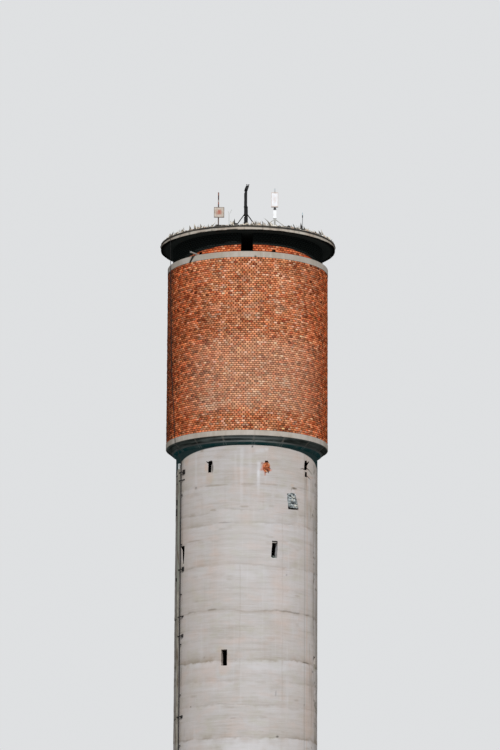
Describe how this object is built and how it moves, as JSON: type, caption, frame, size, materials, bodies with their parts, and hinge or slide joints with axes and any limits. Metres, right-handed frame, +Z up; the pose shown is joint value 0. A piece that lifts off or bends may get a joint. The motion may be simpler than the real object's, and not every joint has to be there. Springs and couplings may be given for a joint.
{
  "type": "water tower",
  "caption": "Round water tower: cast concrete shaft with narrow light slits, wider brick tank drum between concrete rings, low attic storey and a thin overhanging roof slab with aerials.",
  "frame": {"origin": "centre of the underside of the foundation, at ground level", "axes": "+Z up along the tower, -Y towards the doorway and the side that the picture shows, +X to the right seen from that side"},
  "size_m": [6.6, 6.6, 37.1188],
  "materials": {
    "concrete": "cast, weathered",
    "ring_concrete": "cast, weathered",
    "brick": "rough fired brick",
    "mortar_fill": "rough",
    "felt": "matt bitumen felt",
    "dark_steel": "weathered",
    "rusty_steel": "rusted",
    "zinc": "dull galvanised",
    "white_plastic": "matt",
    "grey_plastic": "matt"
  },
  "bodies": {
    "root": {"foundation": "concrete", "door_step": "concrete", "door_frame": "rusty_steel", "shaft_lower_1": "concrete", "shaft_lower_2": "concrete", "shaft_lower_3": "concrete", "shaft_lower_4": "concrete", "shaft_lower_5": "concrete", "shaft_lower_6": "concrete", "shaft_upper_1": "concrete", "shaft_upper_2": "concrete", "shaft_upper_3": "concrete", "shaft_upper_4": "concrete", "shaft_upper_5": "concrete", "shaft_upper_6": "concrete", "shaft_upper_7": "concrete", "shaft_upper_8": "concrete", "walled_hatch": "mortar_fill", "bricked_vent": "brick", "tank_floor": "ring_concrete", "tank_wall_1": "brick", "tank_wall_2": "brick", "tank_wall_3": "brick", "tank_wall_4": "brick", "tank_wall_5": "brick", "tank_wall_6": "brick", "tank_cover": "ring_concrete", "attic_wall_1": "brick", "attic_wall_2": "brick", "attic_wall_3": "brick", "attic_wall_4": "brick", "roof_slab": "ring_concrete", "roof_felt": "felt", "roof_spout": "zinc", "down_conductor": "dark_steel", "service_pipe": "zinc", "mast": "dark_steel", "mast_head": "dark_steel", "mast_tripod": "dark_steel", "flat_aerial_base": "mortar_fill", "flat_aerial_post": "zinc", "flat_aerial": "grey_plastic", "panel_aerial_base": "mortar_fill", "panel_aerial_legs": "zinc", "panel_aerial_post": "zinc", "panel_aerial": "white_plastic", "left_whip": "zinc", "right_whip": "dark_steel", "edge_cable": "white_plastic"}
  },
  "joints": []
}
